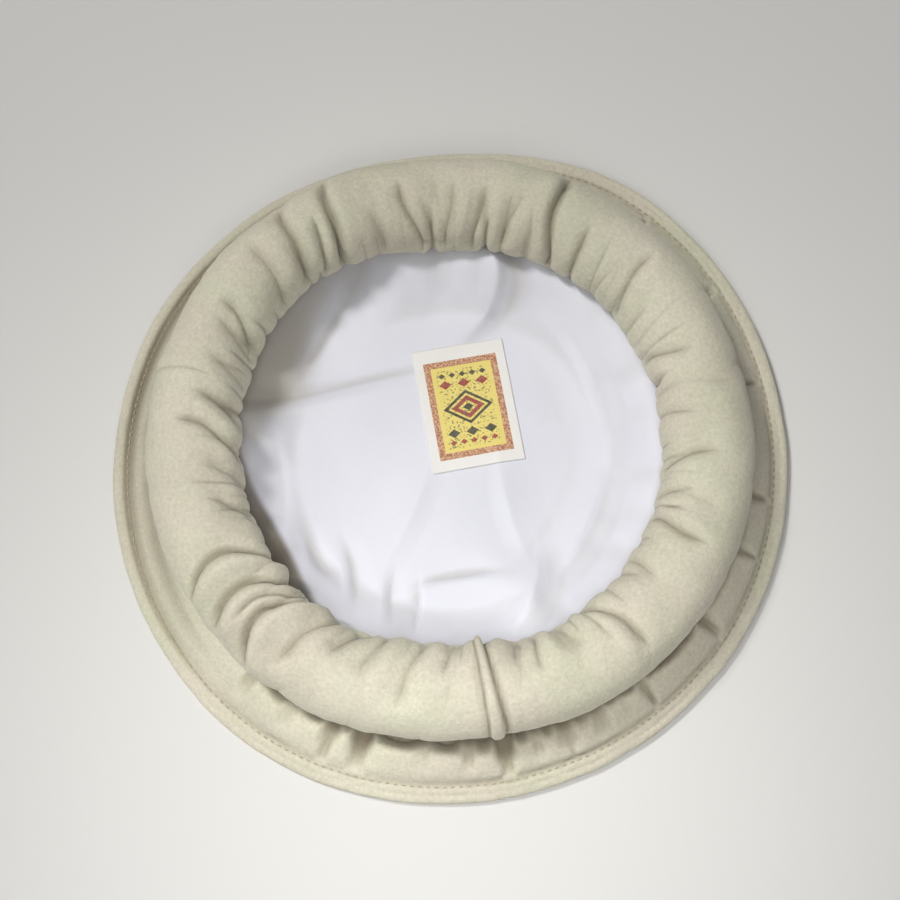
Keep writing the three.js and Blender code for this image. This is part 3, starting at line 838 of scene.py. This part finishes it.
def new_material(name, **settings):
    """A material with a Principled shader whose sockets are set by name."""
    made = bpy.data.materials.new(name)
    made.use_nodes = True
    shader = made.node_tree.nodes["Principled BSDF"]
    for socket, value in settings.items():
        shader.inputs[socket.replace("_", " ")].default_value = value
    return made, made.node_tree, shader


def wool(name, light, dark):
    """Thick fulled wool: faint patches, a speckle of fibres, a fine broken weave, a soft nap and painted
    shade in its creases.
    """
    made, tree, shader = new_material(
        name, Roughness=0.95, Sheen_Weight=0.25, Sheen_Roughness=0.45, Sheen_Tint=(1.0, 0.97, 0.9, 1.0)
    )
    place = node(tree, "ShaderNodeTexCoord").outputs
    patches = ranged(tree, noise(tree, place["Object"], 16, 3), 0.35, 0.65)
    mottle = ranged(tree, noise(tree, place["Object"], 170, 4, 0.6), 0.3, 0.7)
    fibres = ranged(tree, noise(tree, place["Object"], 620, 3, 0.65), 0.32, 0.68)
    toned = mixed_colour(tree, patches, light, dark)
    tint = ranged(tree, noise(tree, place["Object"], 24, 2), 0.4, 0.6)
    tints = mixed_colour(tree, tint, (0.97, 1.0, 0.97, 1), (1.0, 0.98, 1.0, 1))
    toned = mixed_colour(tree, 1.0, toned, tints, "MULTIPLY")
    toned = mixed_colour(tree, math_node(tree, "MULTIPLY", mottle, 0.3), toned, dark)
    shade = ranged(tree, fibres, 0.0, 1.0, 0.90, 1.07)
    grey = node(tree, "ShaderNodeCombineColor", {"Red": shade, "Green": shade, "Blue": shade})
    toned = mixed_colour(tree, 1.0, toned, grey.outputs["Color"], "MULTIPLY")
    # Painted shade: the wool is darkened in creases, and on the side cloth in its pits, under the roll and in
    # the groove.
    painted_shade = node(tree, "ShaderNodeAttribute", attribute_name="painted_shade").outputs["Fac"]
    toned = mixed_colour(tree, math_node(tree, "MULTIPLY", painted_shade, 0.7), toned, CREASE_SHADE_TONE)
    tree.links.new(toned, shader.inputs["Base Color"])

    threads = node(tree, "ShaderNodeSeparateXYZ", {"Vector": place["UV"]}).outputs
    pitch = math.tau / (1.1 * MM)
    warp = math_node(tree, "SINE", math_node(tree, "MULTIPLY", threads["X"], pitch))
    weft = math_node(tree, "SINE", math_node(tree, "MULTIPLY", threads["Y"], pitch))
    weave = math_node(tree, "MULTIPLY", math_node(tree, "MULTIPLY", warp, weft), mottle)
    nap = noise(tree, place["Object"], 900, 4, 0.7)
    felt = noise(tree, place["Object"], 330, 3, 0.6)
    bump = bumped(tree, felt, 0.55, 0.7)
    bump = bumped(tree, nap, 0.6, 0.4, bump)
    bump = bumped(tree, weave, 0.3, 0.1, bump)
    tree.links.new(bump, shader.inputs["Normal"])
    return made


def lining_material():
    """Thin white cloth with a cool tint, a fine weave and a soft sheen, with painted shade in creases and by
    the brim.
    """
    made, tree, shader = new_material(
        "white_lining", Roughness=0.55, Sheen_Weight=0.2, Sheen_Roughness=0.3, Specular_IOR_Level=0.4
    )
    place = node(tree, "ShaderNodeTexCoord").outputs
    tint = ranged(tree, noise(tree, place["Object"], 25, 2), 0.35, 0.65)
    toned = mixed_colour(tree, tint, (0.72, 0.73, 0.805, 1), (0.695, 0.71, 0.785, 1))
    # Painted shade: darker in creases, in the low pocket and in the dark crescent by the brim.
    for attribute, most, colour in (
        ("painted_shade", 0.5, (0.42, 0.40, 0.37, 1)),
        ("pocket", 0.78, (0.40, 0.365, 0.30, 1)),
        ("brim_shade", 0.9, (0.17, 0.14, 0.095, 1)),
    ):
        share = node(tree, "ShaderNodeAttribute", attribute_name=attribute).outputs["Fac"]
        toned = mixed_colour(tree, math_node(tree, "MULTIPLY", share, most), toned, colour)
    tree.links.new(toned, shader.inputs["Base Color"])
    crumple = noise(tree, place["Object"], 60, 4, 0.55)
    grain = noise(tree, place["Object"], 1500, 2)
    bump = bumped(tree, crumple, 0.35, 1.2)
    tree.links.new(bumped(tree, grain, 0.25, 0.15, bump), shader.inputs["Normal"])
    return made


def box_mask(tree, u, v, low, high):
    """1 inside a box of the label, in shares of its width and length."""
    inside = math_node(tree, "GREATER_THAN", u, low[0])
    for value, limit, operation in (
        (u, high[0], "LESS_THAN"),
        (v, low[1], "GREATER_THAN"),
        (v, high[1], "LESS_THAN"),
    ):
        inside = math_node(tree, "MULTIPLY", inside, math_node(tree, operation, value, limit))
    return inside


def lozenge_row(tree, u, v, middle, half_height, count, half_width):
    """1 inside a row of lozenges across the label, at one share of its length."""
    across = math_node(tree, "PINGPONG", math_node(tree, "MULTIPLY", u, count), 0.5)
    across = math_node(tree, "DIVIDE", math_node(tree, "SUBTRACT", 0.5, across), half_width)
    along = math_node(tree, "ABSOLUTE", math_node(tree, "SUBTRACT", v, middle))
    reach = math_node(tree, "ADD", across, math_node(tree, "DIVIDE", along, half_height))
    return math_node(tree, "LESS_THAN", reach, 1.0)


def label_material():
    """A woven label: white edge, red-brown speckled frame, yellow panel and rows of plain lozenges."""
    made, tree, shader = new_material("woven_label", Roughness=0.6, Sheen_Weight=0.15)
    place = node(tree, "ShaderNodeTexCoord").outputs
    uv = node(tree, "ShaderNodeSeparateXYZ", {"Vector": place["UV"]}).outputs
    u, v = uv["X"], uv["Y"]
    white, yellow = (0.82, 0.81, 0.80, 1), (0.80, 0.66, 0.17, 1)
    frame_red, dark, deep_red = (0.36, 0.11, 0.06, 1), (0.05, 0.045, 0.02, 1), (0.36, 0.04, 0.03, 1)
    speckle = ranged(tree, noise(tree, place["Object"], 1100, 2, 0.6), 0.42, 0.58)
    frame_colour = mixed_colour(tree, speckle, frame_red, (0.66, 0.40, 0.22, 1))
    toned = mixed_colour(tree, box_mask(tree, u, v, (0.10, 0.09), (0.90, 0.89)), white, frame_colour)
    toned = mixed_colour(tree, box_mask(tree, u, v, (0.17, 0.14), (0.83, 0.84)), toned, yellow)
    inner = box_mask(tree, u, v, (0.22, 0.17), (0.78, 0.81))
    for middle, half_height, count, half_width, colour in (
        (0.49, 0.14, 1, 0.27, dark),
        (0.49, 0.115, 1, 0.22, yellow),
        (0.49, 0.095, 1, 0.18, deep_red),
        (0.49, 0.055, 1, 0.105, yellow),
        (0.49, 0.03, 1, 0.06, dark),
        (0.69, 0.036, 5, 0.34, deep_red),
        (0.29, 0.036, 5, 0.34, dark),
        (0.765, 0.022, 9, 0.34, dark),
        (0.215, 0.022, 9, 0.34, deep_red),
    ):
        lozenges = lozenge_row(tree, u, v, middle, half_height, count, half_width)
        toned = mixed_colour(tree, math_node(tree, "MULTIPLY", inner, lozenges), toned, colour)
    flecks = ranged(tree, noise(tree, place["Object"], 900, 2, 0.6), 0.57, 0.61, 0.0, 0.75)
    toned = mixed_colour(tree, math_node(tree, "MULTIPLY", inner, flecks), toned, dark)
    worn = ranged(tree, noise(tree, place["Object"], 500, 3, 0.7), 0.3, 0.7, 0.0, 0.12)
    toned = mixed_colour(tree, worn, toned, (0.80, 0.77, 0.66, 1))
    tree.links.new(toned, shader.inputs["Base Color"])
    ribs = math_node(tree, "SINE", math_node(tree, "MULTIPLY", v, math.tau * 110))
    tree.links.new(bumped(tree, ribs, 0.3, 0.1), shader.inputs["Normal"])
    return made


def thread_material(name, colour):
    """Sewing thread: a plain colour with a faint change along each stitch."""
    made, tree, shader = new_material(name, Roughness=0.7, Sheen_Weight=0.2)
    place = node(tree, "ShaderNodeTexCoord").outputs["Object"]
    change = ranged(tree, noise(tree, place, 300, 2), 0.3, 0.7)
    darker = tuple(0.8 * part for part in colour[:3]) + (1.0,)
    tree.links.new(mixed_colour(tree, change, colour, darker), shader.inputs["Base Color"])
    return made


def floor_material():
    made, tree, shader = new_material("pale_floor", Roughness=0.85)
    place = node(tree, "ShaderNodeTexCoord").outputs["Object"]
    change = ranged(tree, noise(tree, place, 3, 2), 0.3, 0.7)
    toned = mixed_colour(tree, change, (0.72, 0.72, 0.71, 1), (0.70, 0.70, 0.69, 1))
    tree.links.new(toned, shader.inputs["Base Color"])
    return made


# ---- The cap ----
WOOL_LIGHT, WOOL_DARK = (0.705, 0.675, 0.55, 1), (0.615, 0.585, 0.47, 1)


def dressed(piece, look, slot, *nodes):
    """Gives a piece its material and its place in the frame."""
    piece.data.materials.append(look)
    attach(piece, "root")
    if nodes:
        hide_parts(*nodes)
    return piece


wool_cloth = wool("wool_cloth", WOOL_LIGHT, WOOL_DARK)
roll = dressed(rolled_brim(), wool_cloth, "rolled_wool", "rolled_brim")
side = dressed(crown_side(), wool_cloth, "wool_cloth", "crown_side")
disc = dressed(crown_top(), wool_cloth, "wool_cloth", "crown_top")
bag = dressed(lining(), lining_material(), "lining_cloth", "lining")
patch = dressed(label(), label_material(), "label_cloth", "label")


def side_stitch_height(angle):
    slack, lift = amount("slack", angle), amount("lift", angle)
    return RIM_PARTING + SEWN_GAP + CLOTH + 0.45 + 1.25 * slack - stitch_groove(angle) + 0.6 * lift


def top_stitch_height(angle):
    return 1.45 + 0.3 * amount("lift", angle)


topstitch = thread_material("topstitch_thread", (0.48, 0.42, 0.285, 1))
side_stitches = ring_stitches("topstitch_on_side", SIDE_STITCH_INSET, side_stitch_height, up=1.0, seed=31)
disc_stitches = ring_stitches("topstitch_on_crown", TOP_STITCH_INSET, top_stitch_height, up=-1.0, seed=32)
for stitching in (side_stitches, disc_stitches):
    dressed(stitching, topstitch, "wool_cloth")

# ---- Floor, light and camera ----
middle = (cad_low + cad_high) / 2


def floor():
    bpy.ops.mesh.primitive_plane_add(size=12, location=(0, 0, 0))
    made = bpy.context.object
    made.name = "floor"
    made.data.materials.append(floor_material())


def soft_light(name, aim, colour, azimuth, elevation, distance, size, power, spread):
    """A square soft lamp aimed at a place of the cap."""
    light = bpy.data.lights.new(name, "AREA")
    light.size, light.energy, light.color, light.spread = size, power, colour, math.radians(spread)
    made = bpy.data.objects.new(name, light)
    a, e = math.radians(azimuth), math.radians(elevation)
    away = Vector((math.cos(a) * math.cos(e), math.sin(a) * math.cos(e), math.sin(e)))
    made.location = aim + away * distance
    made.rotation_mode = "QUATERNION"
    made.rotation_quaternion = away.to_track_quat("Z", "Y")
    bpy.context.scene.collection.objects.link(made)


def sky(colour, strength):
    world = bpy.data.worlds.new("studio")
    world.use_nodes = True
    background = world.node_tree.nodes["Background"]
    background.inputs["Color"].default_value = colour
    background.inputs["Strength"].default_value = strength
    bpy.context.scene.world = world


def camera(place, frame_share):
    """A camera at a place in the frame, aimed at the cap, which fills that share of the picture's width."""
    made = bpy.data.objects.new("camera", bpy.data.cameras.new("camera"))
    made.location = place
    away = made.location - middle
    made.rotation_mode = "QUATERNION"
    made.rotation_quaternion = away.to_track_quat("Z", "Y")
    half_width = (cad_high.x - cad_low.x) / 2
    made.data.lens = made.data.sensor_width / 2 * frame_share * away.length / half_width
    bpy.context.scene.collection.objects.link(made)
    bpy.context.scene.camera = made


floor()
soft_light("key", middle, WARM_WHITE, **KEY_LAMP)
soft_light("near", middle + NEAR_AIM, NEAR_WHITE, **NEAR_LAMP)
sky((*WARM_WHITE, 1), SKY_STRENGTH)
camera(CAMERA_PLACE, CAMERA_FILL)
bpy.context.scene.view_settings.view_transform = "Standard"
